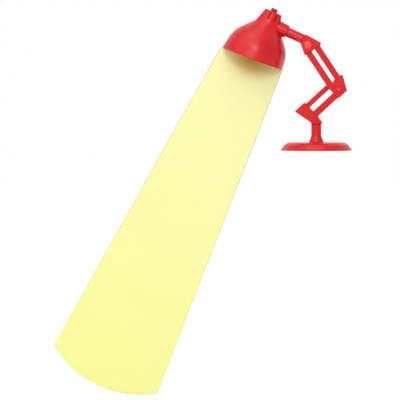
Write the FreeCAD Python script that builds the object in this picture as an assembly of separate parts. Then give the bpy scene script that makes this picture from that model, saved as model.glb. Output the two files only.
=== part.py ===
import FreeCAD, Part
import os
from math import atan2, cos, degrees, radians, sin, tan

# Page marker in the form of a miniature spring-arm desk lamp. A round base sits on the top edge of a
# book, twin-bar arms carry a bell shade, and a long film stands for the beam and goes between the pages.
# Millimetres. X is to the right, Z is up, Y runs away from the viewer, and every arm hinge is along Y.
# The origin is the centre of the base's underside.

# Base disc and its cover
BASE_R = 17.7
BASE_SHOULDER_R = 15.9
BASE_SHOULDER_H = 2.8
BASE_TOP_R = 14.2
BASE_H = 3.9
BASE_EDGE_H = 0.4
BASE_SKIN = 1.4
BASE_CAVITY_R = 14.4
COVER_R = 16.3
COVER_T = 0.8

# Post
POST_R = 2.5
POST_L = 9.0
POST_FOOT_R = 3.7
POST_FOOT_EDGE_H = 0.4
POST_FOOT_H = 3.4
SPIGOT_R = 1.6
SPIGOT_REACH = 2.7
CLIP_R = 3.2
CLIP_T = 0.8

# Flat head on the post, between the lower bracket's cheeks. Its tip reaches around the pin that holds it.
POST_HEAD_HALF_W = 2.25
POST_HEAD_SUNK = 1.0
POST_HEAD_LEFT_H = 0.9
POST_HEAD_RIGHT_H = 1.1
POST_HEAD_TIP_LEFT = 0.8
POST_HEAD_TIP_RIGHT = 0.9
POST_HEAD_TIP_H = 1.2
POST_HEAD_SIDE_R = 0.4
POST_HEAD_TIP_R = 0.6

# Arms: length from pin to pin, and direction at rest from the X axis
LOWER_ARM_L = 17.0
LOWER_ARM_ANGLE = 42.7
LOWER_SPACING = 5.65
LOWER_MAIN_W = 3.3
LOWER_PARALLEL_W = 2.5
UPPER_ARM_L = 20.87
UPPER_ARM_ANGLE = 123.8
UPPER_SPACING = 5.1
UPPER_PAIR_ANGLE = 26.0
UPPER_BAR_W = 3.05
FOOT_PIN_LEFT = 5.6
FOOT_PIN_UP = 8.15

# Layers of the arms, measured from the lamp's middle plane
BAR_HALF_DEPTH = 1.5
BAR_BEVEL = 0.4
SIDE_CLEARANCE = 0.1
CHEEK_T = 0.9
CHEEK_BEVEL = 0.25
CHEEK_CORNER_R = 0.35
TONGUE_HALF_T = 0.5
FORK_DEPTH = 3.0
TONGUE_LENGTH = 3.2

# Pins
PIN_R = 0.5
RUNNING_CLEARANCE = 0.06
PRESS_CLEARANCE = 0.01
PIN_SEAT_DEPTH = 0.5
POST_PIN_RIGHT = 0.97
POST_PIN_UP = 1.5

# Lower bracket: how far its corners reach past the bars' pins, and past the top of the post
LOWER_CHEEK_MARGIN = 0.95
LOWER_CHEEK_TAIL = 4.8
LOWER_CHEEK_TOP = 1.7
LOWER_CHEEK_RIGHT = (1.8, 1.5)
LOWER_CHEEK_RIGHT_R = 0.8
LOWER_CHEEK_HIP = 0.45
LOWER_CHEEK_HIP_H = 1.0
LOWER_CHEEK_HEEL_H = 0.9
LOWER_CHEEK_INSET = 0.1

# Elbow bracket: each corner's reach from its pin, along the arm and then across it to the right
ELBOW_FOOT_RIGHT = (-1.6, 1.25)
ELBOW_FOOT_LEFT = (-2.35, -1.0)
ELBOW_FOOT_R = 0.5
ELBOW_SHOULDER_UP = 1.1
ELBOW_SHOULDER_R = 0.8
ELBOW_NOTCH = (0.35, 2.3)
ELBOW_NOTCH_R = 0.7
ELBOW_EAR_LEFT = (1.95, -1.35)
ELBOW_EAR_LEFT_R = 0.6
ELBOW_EAR_RIGHT = (1.65, 2.85)
ELBOW_POINT_RIGHT = 3.85
ELBOW_POINT_DOWN = 1.65
ELBOW_HEEL = (-1.3, 2.1)

# Head bracket: reaches from the upper bars' pins, and from the end of the neck rod
HEAD_CHEEK_RIGHT_UPPER = (0.1, 2.6)
HEAD_CHEEK_RIGHT_LOWER = (-1.0, 1.9)
HEAD_CHEEK_LEFT = (-1.75, -2.2)
HEAD_CHEEK_TOP_OUT = 1.1
HEAD_CHEEK_TOP_UP = 0.2
HEAD_CHEEK_TOP_R = 0.8

# Elbow stud, seen from the front as a low round boss with a dished middle
STUD_RIGHT = 4.45
STUD_DOWN = 1.15
STUD_R = 0.7
STUD_SHOULDER_R = 1.0
BOSS_R = 2.1
BOSS_H = 0.5
BOSS_EDGE = 0.2
DISH_R = 1.6
DISH_DEPTH = 0.4

# Head pivot, seen from the front as a bright dome
HEAD_PIVOT_RIGHT = 0.55
HEAD_PIVOT_UP = 2.4
HEAD_BOLT_R = 0.6
DOME_R = 2.0
DOME_H = 1.0
LINK_PIN_LOBE_R = 1.3
LINK_PIVOT_LOBE_R = 1.6

# Neck rod: its axis passes above the pivot, and its shoulder stands back from it
ROD_R = 2.42
ROD_ABOVE_PIVOT = 1.75
ROD_SETBACK = 3.53
ROD_SHOWN = 8.65
ROD_SEAT_L = 4.4
TONGUE_CLEAR_R = 2.0
ROD_TONGUE_INSET = 0.1
ROD_TONGUE_SUNK = 0.5
ROD_TONGUE_UPPER = (1.1, 0.4)
ROD_TONGUE_UPPER_R = 0.5
ROD_TONGUE_LOWER = (0.8, -1.0)
ROD_TONGUE_LOWER_R = 0.3
ROD_TONGUE_HEEL = (-1.9, -0.5)
NECK_PIN_BACK = 1.2
NECK_PIN_UP = 3.5

# Bell shade, in its own frame: Z along its axis from the rim to the crown, X across it towards the post
SHADE_LEAN = 24.4
RIM_SKEW = 3.6
RIM_R = 15.95
SHOULDER_R = 14.7
SHOULDER_H = 9.2
NECK_R = 6.6
NECK_H = 18.2
NECK_ROUND = 5.0
CROWN_R = 4.35
CROWN_H = 25.5
CROWN_EDGE = 0.3
SHADE_WALL = 1.2
HOLLOW_TOP = 20.5
ROD_HEIGHT_ON_SHADE = 19.2
FERRULE_REACH = 10.35
FERRULE_ROOT_R = 4.0
FERRULE_TIP_R = 3.25
FERRULE_CHAMFER = 0.4
VENT_W = 0.8
VENT_LOW = 21.5
VENT_HIGH = 25.0
VENT_DEPTH = 0.8
VENT_ANGLES = (-7, 28, 62)
DOWEL_R = 0.6
DOWEL_L = 1.0
DOWEL_X = 2.3
DOWEL_H = 22.8

# Finial
FINIAL_R = 1.65
FINIAL_H = 1.7
FINIAL_EDGE = 0.35
FINIAL_STEM_R = 0.8
FINIAL_STEM_L = 3.6

# Beam film, in the shade's frame: a little wider than the rim, and widening to a curved end
FILM_T = 0.5
FILM_PAST_RIM_LEFT = 0.95
FILM_PAST_RIM_RIGHT = 0.05
FILM_DROP = 172.7
FILM_END_LEFT = 32.25
FILM_END_RIGHT = 25.75
FILM_END_BULGE = 9.15
FILM_CORNER_R = 1.0
FILM_TAB_H = 12.0
FILM_EDGE_INSET = 0.4
RECESS_CLEARANCE = 0.1

Y_AXIS = FreeCAD.Vector(0, 1, 0)
Z_AXIS = FreeCAD.Vector(0, 0, 1)

POST_TOP = BASE_H + POST_L
CHEEK_IN = BAR_HALF_DEPTH + SIDE_CLEARANCE
CHEEK_OUT = CHEEK_IN + CHEEK_T
FORK_HALF_SLOT = TONGUE_HALF_T + SIDE_CLEARANCE


def point(x, z):
    return FreeCAD.Vector(x, 0, z)


def heading(angle):
    """Unit vector in the lamp's plane, at this angle from X towards Z."""
    return point(cos(radians(angle)), sin(radians(angle)))


# Pin centres. The lower bars' pins lie square across the arm, and the upper bars' along the pair's own angle.
LOWER_ALONG = heading(LOWER_ARM_ANGLE)
LOWER_ACROSS = heading(LOWER_ARM_ANGLE - 90)
UPPER_ALONG = heading(UPPER_ARM_ANGLE)
UPPER_ACROSS = heading(UPPER_ARM_ANGLE - 90)
UPPER_PAIR = heading(UPPER_PAIR_ANGLE) * UPPER_SPACING
FOOT_PARALLEL = point(-FOOT_PIN_LEFT, POST_TOP + FOOT_PIN_UP)
FOOT_MAIN = FOOT_PARALLEL + LOWER_ACROSS * LOWER_SPACING
ELBOW_SHARED = FOOT_PARALLEL + LOWER_ALONG * LOWER_ARM_L
ELBOW_LOWER_MAIN = ELBOW_SHARED + LOWER_ACROSS * LOWER_SPACING
ELBOW_UPPER_MAIN = ELBOW_SHARED + UPPER_PAIR
HEAD_PARALLEL = ELBOW_SHARED + UPPER_ALONG * UPPER_ARM_L
HEAD_MAIN = HEAD_PARALLEL + UPPER_PAIR
HEAD_PIVOT = HEAD_PARALLEL + point(HEAD_PIVOT_RIGHT, HEAD_PIVOT_UP)
POST_PIN = point(POST_PIN_RIGHT, POST_TOP + POST_PIN_UP)
ELBOW_STUD = ELBOW_SHARED + point(STUD_RIGHT, -STUD_DOWN)

# Shade frame: ROD_OUT points along the neck rod from the shade to the arm, SHADE_UP from rim to crown.
ROD_OUT = heading(-SHADE_LEAN)
SHADE_UP = heading(90 - SHADE_LEAN)
ROD_SHOULDER = HEAD_PIVOT + SHADE_UP * ROD_ABOVE_PIVOT - ROD_OUT * ROD_SETBACK
RIM_CENTRE = ROD_SHOULDER - ROD_OUT * (FERRULE_REACH + ROD_SHOWN) - SHADE_UP * ROD_HEIGHT_ON_SHADE
NECK_PIN = HEAD_PIVOT - ROD_OUT * NECK_PIN_BACK + SHADE_UP * NECK_PIN_UP


def by_lower_arm(centre, reach):
    """The corner that lies this far along the lower arm from a pin, and across it to the right."""
    return centre + LOWER_ALONG * reach[0] + LOWER_ACROSS * reach[1]


def by_upper_arm(centre, reach):
    """The corner that lies this far along the upper arm from a pin, and across it to the right."""
    return centre + UPPER_ALONG * reach[0] + UPPER_ACROSS * reach[1]


def by_neck_rod(centre, reach):
    """The corner that lies this far along the neck rod from a pin, away from the shade, and above it."""
    return centre + ROD_OUT * reach[0] + SHADE_UP * reach[1]


def rounded_path(corners, closed=True, arcs=True):
    """Straight runs, with each corner rounded by a tangent arc of its own radius, or cut by two chords."""
    marks = []
    for i, (corner, radius) in enumerate(corners):
        if radius == 0 or (not closed and i in (0, len(corners) - 1)):
            marks.append((corner, None, corner))
            continue
        before = (corners[i - 1][0] - corner).normalize()
        after = (corners[(i + 1) % len(corners)][0] - corner).normalize()
        half = before.getAngle(after) / 2
        inward = (before + after).normalize()
        middle = corner + inward * (radius / sin(half) - radius)
        reach = radius / tan(half)
        marks.append((corner + before * reach, middle, corner + after * reach))
    edges = []
    for i, (start, middle, end) in enumerate(marks):
        if middle is not None and arcs:
            edges.append(Part.Arc(start, middle, end).toShape())
        elif middle is not None:
            edges.append(Part.LineSegment(start, middle).toShape())
            edges.append(Part.LineSegment(middle, end).toShape())
        if not closed and i == len(marks) - 1:
            break
        following = marks[(i + 1) % len(marks)][0]
        if (following - end).Length > 1e-6:
            edges.append(Part.LineSegment(end, following).toShape())
    return edges


def plate(corners, y_low, y_high):
    """Flat plate in the lamp's plane, from rounded corners, between two depths."""
    face = Part.Face(Part.Wire(rounded_path(corners)))
    face.translate(Y_AXIS * y_low)
    return face.extrude(Y_AXIS * (y_high - y_low))


def strip(start, end, half_width, half_depth, end_round=0):
    """Straight bar between two points of the lamp's plane."""
    along = (end - start).normalize()
    across = point(along.z, -along.x) * half_width
    corners = [start - across, end - across, end + across, start + across]
    return plate([(corner, end_round) for corner in corners], -half_depth, half_depth)


def pin(centre, radius, y_low, y_high):
    return Part.makeCylinder(radius, y_high - y_low, centre + Y_AXIS * y_low, Y_AXIS)


def dome(centre, radius, height, face_y):
    """Low spherical cap standing on a face, outwards from the middle plane."""
    outward = Y_AXIS if face_y > 0 else Y_AXIS * -1
    ball_r = (radius ** 2 + height ** 2) / (2 * height)
    foot = centre + Y_AXIS * face_y
    ball = Part.makeSphere(ball_r, foot + outward * (height - ball_r))
    return ball.common(Part.makeCylinder(radius, height, foot, outward))


def dished_boss(centre, face_y):
    """Low round boss standing on a face, outwards from the middle plane, with a hollow in its middle."""
    outward = Y_AXIS if face_y > 0 else Y_AXIS * -1
    foot = centre + Y_AXIS * face_y
    straight = BOSS_H - BOSS_EDGE
    boss = Part.makeCylinder(BOSS_R, straight, foot, outward)
    boss = boss.fuse(Part.makeCone(BOSS_R, BOSS_R - BOSS_EDGE, BOSS_EDGE, foot + outward * straight, outward))
    ball_r = (DISH_R ** 2 + DISH_DEPTH ** 2) / (2 * DISH_DEPTH)
    return boss.cut(Part.makeSphere(ball_r, foot + outward * (BOSS_H - DISH_DEPTH + ball_r)))


def bevelled(solid, face_y, size):
    """Bevel the outline of the flat face that lies at this depth."""
    rim = [e for e in solid.Edges if e.BoundBox.YLength < 1e-6 and abs(e.BoundBox.YMin - face_y) < 1e-6]
    return solid.makeChamfer(size, rim)


def mirrored(solid):
    """The same shape on the other side of the middle plane."""
    return solid.mirror(point(0, 0), Y_AXIS)


def turned(profile):
    """Solid of revolution about Z from a closed profile of radius and height."""
    face = Part.Face(Part.Wire(profile))
    return face.revolve(point(0, 0), Z_AXIS, 360)


def base_shell():
    """Shallow dish with a sloping side, open below for the cover, and bored for the post's spigot."""
    corners = [
        point(COVER_R + PRESS_CLEARANCE, 0),
        point(BASE_R, 0),
        point(BASE_R, BASE_EDGE_H),
        point(BASE_SHOULDER_R, BASE_SHOULDER_H),
        point(BASE_TOP_R, BASE_H),
        point(SPIGOT_R + RUNNING_CLEARANCE, BASE_H),
        point(SPIGOT_R + RUNNING_CLEARANCE, BASE_H - BASE_SKIN),
        point(BASE_CAVITY_R, BASE_H - BASE_SKIN),
        point(BASE_CAVITY_R, COVER_T),
        point(COVER_R + PRESS_CLEARANCE, COVER_T),
    ]
    return turned([Part.LineSegment(a, b).toShape() for a, b in zip(corners, corners[1:] + corners[:1])])


def base_cover():
    return Part.makeCylinder(COVER_R, COVER_T)


def post():
    """Column with a flared foot, a spigot that turns in the base, and a flat head between the cheeks."""
    foot_top = BASE_H + POST_FOOT_H
    outline = [
        point(0, BASE_H - SPIGOT_REACH),
        point(SPIGOT_R, BASE_H - SPIGOT_REACH),
        point(SPIGOT_R, BASE_H),
        point(POST_FOOT_R, BASE_H),
        point(POST_FOOT_R, BASE_H + POST_FOOT_EDGE_H),
        point(POST_R, foot_top),
        point(POST_R, POST_TOP),
        point(0, POST_TOP),
    ]
    edges = [Part.LineSegment(a, b).toShape() for a, b in zip(outline, outline[1:] + outline[:1])]
    column = turned(edges)
    head = plate(
        [
            (point(-POST_HEAD_HALF_W, POST_TOP - POST_HEAD_SUNK), 0),
            (point(POST_HEAD_HALF_W, POST_TOP - POST_HEAD_SUNK), 0),
            (point(POST_HEAD_HALF_W, POST_TOP + POST_HEAD_RIGHT_H), POST_HEAD_SIDE_R),
            (POST_PIN + point(POST_HEAD_TIP_RIGHT, POST_HEAD_TIP_H), POST_HEAD_TIP_R),
            (POST_PIN + point(-POST_HEAD_TIP_LEFT, POST_HEAD_TIP_H), POST_HEAD_TIP_R),
            (point(-POST_HEAD_HALF_W, POST_TOP + POST_HEAD_LEFT_H), POST_HEAD_SIDE_R),
        ],
        -CHEEK_IN,
        CHEEK_IN,
    )
    bore = pin(POST_PIN, PIN_R + PRESS_CLEARANCE, -CHEEK_IN, CHEEK_IN)
    return column.fuse(head).cut(bore).removeSplitter()


def post_clip():
    """Push-on ring on the spigot, under the base's top skin."""
    top = BASE_H - BASE_SKIN - SIDE_CLEARANCE
    ring = Part.makeCylinder(CLIP_R, CLIP_T, point(0, top - CLIP_T))
    return ring.cut(Part.makeCylinder(SPIGOT_R + PRESS_CLEARANCE, CLIP_T, point(0, top - CLIP_T)))


def cheek(corners, seats, hole=None, hole_radius=0):
    """Rear plate of a bracket. Its pins sit in blind seats, so that they don't show from outside."""
    solid = bevelled(plate(corners, CHEEK_IN, CHEEK_OUT), CHEEK_OUT, CHEEK_BEVEL)
    if hole is not None:
        solid = solid.cut(pin(hole, hole_radius + PRESS_CLEARANCE, CHEEK_IN, CHEEK_OUT))
    for centre in seats:
        solid = solid.cut(pin(centre, PIN_R + PRESS_CLEARANCE, CHEEK_IN, CHEEK_IN + PIN_SEAT_DEPTH))
    return solid


def lower_cheek():
    """Kite-shaped plate on the post's head, with its long edge square across the lower bars."""
    margin = LOWER_PARALLEL_W / 2 + LOWER_CHEEK_MARGIN
    foot = POST_R - LOWER_CHEEK_INSET
    corners = [
        (by_lower_arm(FOOT_PARALLEL, (-LOWER_CHEEK_TAIL, -margin)), CHEEK_CORNER_R),
        (by_lower_arm(FOOT_PARALLEL, (LOWER_CHEEK_TOP, -margin)), CHEEK_CORNER_R),
        (by_lower_arm(FOOT_MAIN, LOWER_CHEEK_RIGHT), LOWER_CHEEK_RIGHT_R),
        (point(POST_R + LOWER_CHEEK_HIP, POST_TOP + LOWER_CHEEK_HIP_H), CHEEK_CORNER_R),
        (point(foot, POST_TOP + SIDE_CLEARANCE), CHEEK_CORNER_R),
        (point(-foot, POST_TOP + SIDE_CLEARANCE), CHEEK_CORNER_R),
        (point(-foot, POST_TOP + LOWER_CHEEK_HEEL_H), CHEEK_CORNER_R),
    ]
    return cheek(corners, [POST_PIN, FOOT_PARALLEL, FOOT_MAIN])


def elbow_cheek():
    """Plate that ties the tops of the lower bars to the feet of the upper bars."""
    corners = [
        (by_lower_arm(ELBOW_SHARED, ELBOW_FOOT_RIGHT), ELBOW_FOOT_R),
        (by_lower_arm(ELBOW_SHARED, ELBOW_FOOT_LEFT), ELBOW_FOOT_R),
        (by_upper_arm(ELBOW_SHARED, (ELBOW_SHOULDER_UP, -UPPER_BAR_W / 2)), ELBOW_SHOULDER_R),
        (by_upper_arm(ELBOW_SHARED, ELBOW_NOTCH), ELBOW_NOTCH_R),
        (by_upper_arm(ELBOW_UPPER_MAIN, ELBOW_EAR_LEFT), ELBOW_EAR_LEFT_R),
        (by_upper_arm(ELBOW_UPPER_MAIN, ELBOW_EAR_RIGHT), CHEEK_CORNER_R),
        (ELBOW_STUD + point(ELBOW_POINT_RIGHT, -ELBOW_POINT_DOWN), CHEEK_CORNER_R),
        (by_lower_arm(ELBOW_LOWER_MAIN, ELBOW_HEEL), CHEEK_CORNER_R),
    ]
    return cheek(corners, [ELBOW_SHARED, ELBOW_LOWER_MAIN, ELBOW_UPPER_MAIN], ELBOW_STUD, STUD_R)


def head_cheek():
    """Plate on the neck rod's tongue, square to the rod above and across the upper bars below."""
    corners = [
        (by_neck_rod(ROD_SHOULDER, (0, -ROD_R)), CHEEK_CORNER_R),
        (by_neck_rod(ROD_SHOULDER, (0, ROD_R)), CHEEK_CORNER_R),
        (by_neck_rod(ROD_SHOULDER, (HEAD_CHEEK_TOP_OUT, ROD_R + HEAD_CHEEK_TOP_UP)), HEAD_CHEEK_TOP_R),
        (by_upper_arm(HEAD_MAIN, HEAD_CHEEK_RIGHT_UPPER), CHEEK_CORNER_R),
        (by_upper_arm(HEAD_MAIN, HEAD_CHEEK_RIGHT_LOWER), CHEEK_CORNER_R),
        (by_upper_arm(HEAD_PARALLEL, HEAD_CHEEK_LEFT), CHEEK_CORNER_R),
    ]
    return cheek(corners, [NECK_PIN], HEAD_PIVOT, HEAD_BOLT_R)


def bar(foot, top, width):
    """Bar with round ends about its two pins, softened along its edges."""
    along = (top - foot).normalize()
    half = width / 2
    solid = strip(foot - along * half, top + along * half, half, BAR_HALF_DEPTH, half)
    for face_y in (-BAR_HALF_DEPTH, BAR_HALF_DEPTH):
        solid = bevelled(solid, face_y, BAR_BEVEL)
    for centre in (foot, top):
        solid = solid.cut(pin(centre, PIN_R + RUNNING_CLEARANCE, -BAR_HALF_DEPTH, BAR_HALF_DEPTH))
    return solid


def fork(solid, centre, inward, width):
    """Slot a bar's end, so that it straddles a link or a tongue."""
    slot = strip(centre - inward * width, centre + inward * FORK_DEPTH, width, FORK_HALF_SLOT)
    return solid.cut(slot)


def lower_main_bar():
    return bar(FOOT_MAIN, ELBOW_LOWER_MAIN, LOWER_MAIN_W)


def lower_parallel_bar():
    """The slimmer rear bar. Its top is thinned to a tongue that enters the upper bar's fork."""
    solid = bar(FOOT_PARALLEL, ELBOW_SHARED, LOWER_PARALLEL_W)
    end = strip(
        ELBOW_SHARED - LOWER_ALONG * TONGUE_LENGTH,
        ELBOW_SHARED + LOWER_ALONG * LOWER_PARALLEL_W,
        LOWER_PARALLEL_W,
        BAR_HALF_DEPTH,
    )
    core = strip(
        ELBOW_SHARED - LOWER_ALONG * TONGUE_LENGTH,
        ELBOW_SHARED + LOWER_ALONG * LOWER_PARALLEL_W,
        LOWER_PARALLEL_W,
        TONGUE_HALF_T,
    )
    return solid.cut(end.cut(core))


def upper_main_bar():
    solid = bar(ELBOW_UPPER_MAIN, HEAD_MAIN, UPPER_BAR_W)
    return fork(solid, HEAD_MAIN, UPPER_ALONG * -1, UPPER_BAR_W)


def upper_parallel_bar():
    solid = bar(ELBOW_SHARED, HEAD_PARALLEL, UPPER_BAR_W)
    solid = fork(solid, HEAD_PARALLEL, UPPER_ALONG * -1, UPPER_BAR_W)
    return fork(solid, ELBOW_SHARED, UPPER_ALONG, UPPER_BAR_W)


def seated_pins(centres):
    """Plain pins that end inside the cheeks."""
    reach = CHEEK_IN + PIN_SEAT_DEPTH
    return Part.makeCompound([pin(centre, PIN_R, -reach, reach) for centre in centres])


def elbow_stud():
    """Stud whose shoulder holds the two cheeks apart, headed over on each side as a dished boss."""
    solid = pin(ELBOW_STUD, STUD_R, -CHEEK_OUT, CHEEK_OUT)
    solid = solid.fuse(pin(ELBOW_STUD, STUD_SHOULDER_R, -CHEEK_IN, CHEEK_IN))
    for face_y in (-CHEEK_OUT, CHEEK_OUT):
        solid = solid.fuse(dished_boss(ELBOW_STUD, face_y))
    return solid.removeSplitter()


def head_link():
    """Thin plate in the bars' forks. It carries both upper pins, and the head tilts on it."""
    lobes = [(HEAD_PARALLEL, LINK_PIN_LOBE_R), (HEAD_MAIN, LINK_PIN_LOBE_R), (HEAD_PIVOT, LINK_PIVOT_LOBE_R)]
    solid = None
    for i, (centre, radius) in enumerate(lobes):
        following = lobes[(i + 1) % len(lobes)][0]
        arm = strip(centre, following, LINK_PIN_LOBE_R, TONGUE_HALF_T)
        lobe = pin(centre, radius, -TONGUE_HALF_T, TONGUE_HALF_T)
        solid = arm.fuse(lobe) if solid is None else solid.fuse([arm, lobe])
    web = plate([(centre, 0) for centre, radius in lobes], -TONGUE_HALF_T, TONGUE_HALF_T)
    solid = solid.fuse(web).removeSplitter()
    for centre in (HEAD_PARALLEL, HEAD_MAIN):
        solid = solid.cut(pin(centre, PIN_R + PRESS_CLEARANCE, -TONGUE_HALF_T, TONGUE_HALF_T))
    return solid.cut(pin(HEAD_PIVOT, HEAD_BOLT_R + RUNNING_CLEARANCE, -TONGUE_HALF_T, TONGUE_HALF_T))


def head_bolt():
    """Pivot bolt of the head, domed on both sides."""
    solid = pin(HEAD_PIVOT, HEAD_BOLT_R, -CHEEK_OUT, CHEEK_OUT)
    for face_y in (-CHEEK_OUT, CHEEK_OUT):
        solid = solid.fuse(dome(HEAD_PIVOT, DOME_R, DOME_H, face_y))
    return solid.removeSplitter()


def neck_rod():
    """Round rod with a flat tongue that is pinned between the head's cheeks."""
    length = ROD_SHOWN + ROD_SEAT_L
    rod = Part.makeCylinder(ROD_R, length, ROD_SHOULDER - ROD_OUT * length, ROD_OUT)
    half = ROD_R - ROD_TONGUE_INSET
    tongue = plate(
        [
            (by_neck_rod(ROD_SHOULDER, (-ROD_TONGUE_SUNK, -half)), 0),
            (by_neck_rod(ROD_SHOULDER, (-ROD_TONGUE_SUNK, half)), 0),
            (by_neck_rod(NECK_PIN, ROD_TONGUE_UPPER), ROD_TONGUE_UPPER_R),
            (by_neck_rod(NECK_PIN, ROD_TONGUE_LOWER), ROD_TONGUE_LOWER_R),
            (by_neck_rod(HEAD_PIVOT, ROD_TONGUE_HEEL), 0),
        ],
        -CHEEK_IN,
        CHEEK_IN,
    )
    tongue = tongue.cut(pin(HEAD_PIVOT, TONGUE_CLEAR_R, -CHEEK_IN, CHEEK_IN))
    tongue = tongue.cut(pin(NECK_PIN, PIN_R + PRESS_CLEARANCE, -CHEEK_IN, CHEEK_IN))
    return rod.fuse(tongue).removeSplitter()


def bell_profile(inset, low, high, arcs=True):
    """Bell turned from its outline of rim, shoulder, neck and crown, moved inwards by the inset.

    The shoulder is a zone of a ball centred on the shade's axis."""
    slope = (SHOULDER_R - RIM_R) / SHOULDER_H
    outline = [
        point(RIM_R + slope * low, low),
        point(SHOULDER_R, SHOULDER_H),
        point(NECK_R, NECK_H),
        point(CROWN_R, CROWN_H),
    ]
    runs = [(b - a).normalize() for a, b in zip(outline, outline[1:])]
    normals = [point(run.z, -run.x) for run in runs]
    ball_r = SHOULDER_R * (1 + normals[0].dot(normals[1])) / (normals[0].x + normals[1].x)
    rounds = [0, ball_r - inset, NECK_ROUND + inset, 0]
    moved = []
    for i, corner in enumerate(outline):
        beside = normals[max(i - 1, 0):i + 1]
        mean = (beside[0] + beside[-1]).normalize()
        moved.append(corner - mean * (inset / mean.dot(beside[0])))
    wall = rounded_path(list(zip(moved, rounds)), closed=False, arcs=arcs)
    foot = point(0, moved[0].z)
    top = point(0, moved[-1].z)
    closing = [
        Part.LineSegment(moved[-1], top).toShape(),
        Part.LineSegment(top, foot).toShape(),
        Part.LineSegment(foot, moved[0]).toShape(),
    ]
    solid = turned(wall + closing)
    reach = 2 * RIM_R
    slab = Part.makeBox(2 * reach, 2 * reach, high - low + 1, FreeCAD.Vector(-reach, -reach, low - 1))
    return solid.common(slab)


def below_rim():
    """Everything under the rim's plane, which is slightly out of square with the shade's axis."""
    size = 4 * RIM_R
    block = Part.makeBox(size, size, size, FreeCAD.Vector(-size / 2, -size / 2, -size))
    block.rotate(point(0, 0), Y_AXIS, -RIM_SKEW)
    return block


def film_tab(inset):
    """Upper end of the film, between the halves of the shade, as wide as the shade less the inset."""
    bell = bell_profile(inset, -2, FILM_TAB_H)
    reach = 2 * RIM_R
    sheet = Part.makeBox(2 * reach, FILM_T, 2 * reach, FreeCAD.Vector(-reach, -FILM_T / 2, -reach))
    return bell.common(sheet).cut(below_rim())


def place_shade(solid):
    """From the shade's own frame into the lamp's frame."""
    solid.rotate(point(0, 0), Y_AXIS, SHADE_LEAN)
    solid.translate(RIM_CENTRE)
    return solid


def shade_half(side):
    """Half of the bell, parted in the lamp's middle plane, where both halves grip the film."""
    across = point(1, 0)
    bell = bell_profile(0, -2, CROWN_H)
    level = [e for e in bell.Edges if e.BoundBox.ZLength < 1e-6]
    bell = bell.makeChamfer(CROWN_EDGE, [e for e in level if abs(e.BoundBox.ZMin - CROWN_H) < 1e-6])
    straight = FERRULE_REACH - FERRULE_CHAMFER
    ferrule = Part.makeCone(FERRULE_ROOT_R, FERRULE_TIP_R, straight, point(0, ROD_HEIGHT_ON_SHADE), across)
    tip = Part.makeCone(
        FERRULE_TIP_R,
        FERRULE_TIP_R - FERRULE_CHAMFER * 0.8,
        FERRULE_CHAMFER,
        point(straight, ROD_HEIGHT_ON_SHADE),
        across,
    )
    solid = bell.fuse([ferrule, tip])
    hollow = bell_profile(SHADE_WALL, -3, HOLLOW_TOP, arcs=False)
    rod_end = FERRULE_REACH - ROD_SEAT_L - PRESS_CLEARANCE
    rod_hole = Part.makeCylinder(
        ROD_R + PRESS_CLEARANCE, FERRULE_REACH, point(rod_end, ROD_HEIGHT_ON_SHADE), across
    )
    stem_hole = Part.makeCylinder(
        FINIAL_STEM_R + PRESS_CLEARANCE, FINIAL_STEM_L + 1, point(0, CROWN_H - FINIAL_STEM_L)
    )
    solid = solid.cut([hollow, rod_hole, stem_hole, below_rim()])
    for angle in VENT_ANGLES:
        solid = solid.cut(vent(angle, side))
    reach = 3 * RIM_R
    y_start = 0 if side > 0 else -reach
    keep = Part.makeBox(2 * reach, reach, 2 * reach, FreeCAD.Vector(-reach, y_start, -reach))
    solid = solid.common(keep).cut(film_tab(FILM_EDGE_INSET - RECESS_CLEARANCE))
    for x in (-DOWEL_X, DOWEL_X):
        if side > 0:
            solid = solid.fuse(pin(point(x, DOWEL_H), DOWEL_R, -DOWEL_L, 0.5))
        else:
            solid = solid.cut(pin(point(x, DOWEL_H), DOWEL_R + PRESS_CLEARANCE, -DOWEL_L - 0.1, 0))
    return place_shade(solid.removeSplitter())


def vent(angle, side):
    """Round-ended slot in the neck, turned from the middle of the front or rear towards the post."""
    half = VENT_W / 2
    slope = (CROWN_R - NECK_R) / (CROWN_H - NECK_H)
    surface = NECK_R + slope * ((VENT_LOW + VENT_HIGH) / 2 - NECK_H)
    slot = strip(point(0, VENT_LOW), point(0, VENT_HIGH), half, surface, half * 0.98)
    slot.translate(Y_AXIS * (2 * surface - VENT_DEPTH))
    slot.rotate(point(0, 0), Z_AXIS, -angle if side > 0 else 180 + angle)
    return slot


def finial():
    stem = Part.makeCylinder(FINIAL_STEM_R, FINIAL_STEM_L, point(0, CROWN_H - FINIAL_STEM_L))
    knob = Part.makeCylinder(FINIAL_R, FINIAL_H, point(0, CROWN_H))
    top = [e for e in knob.Edges if e.BoundBox.ZLength < 1e-6 and e.BoundBox.ZMin > CROWN_H]
    return place_shade(knob.makeChamfer(FINIAL_EDGE, top).fuse(stem).removeSplitter())


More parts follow.
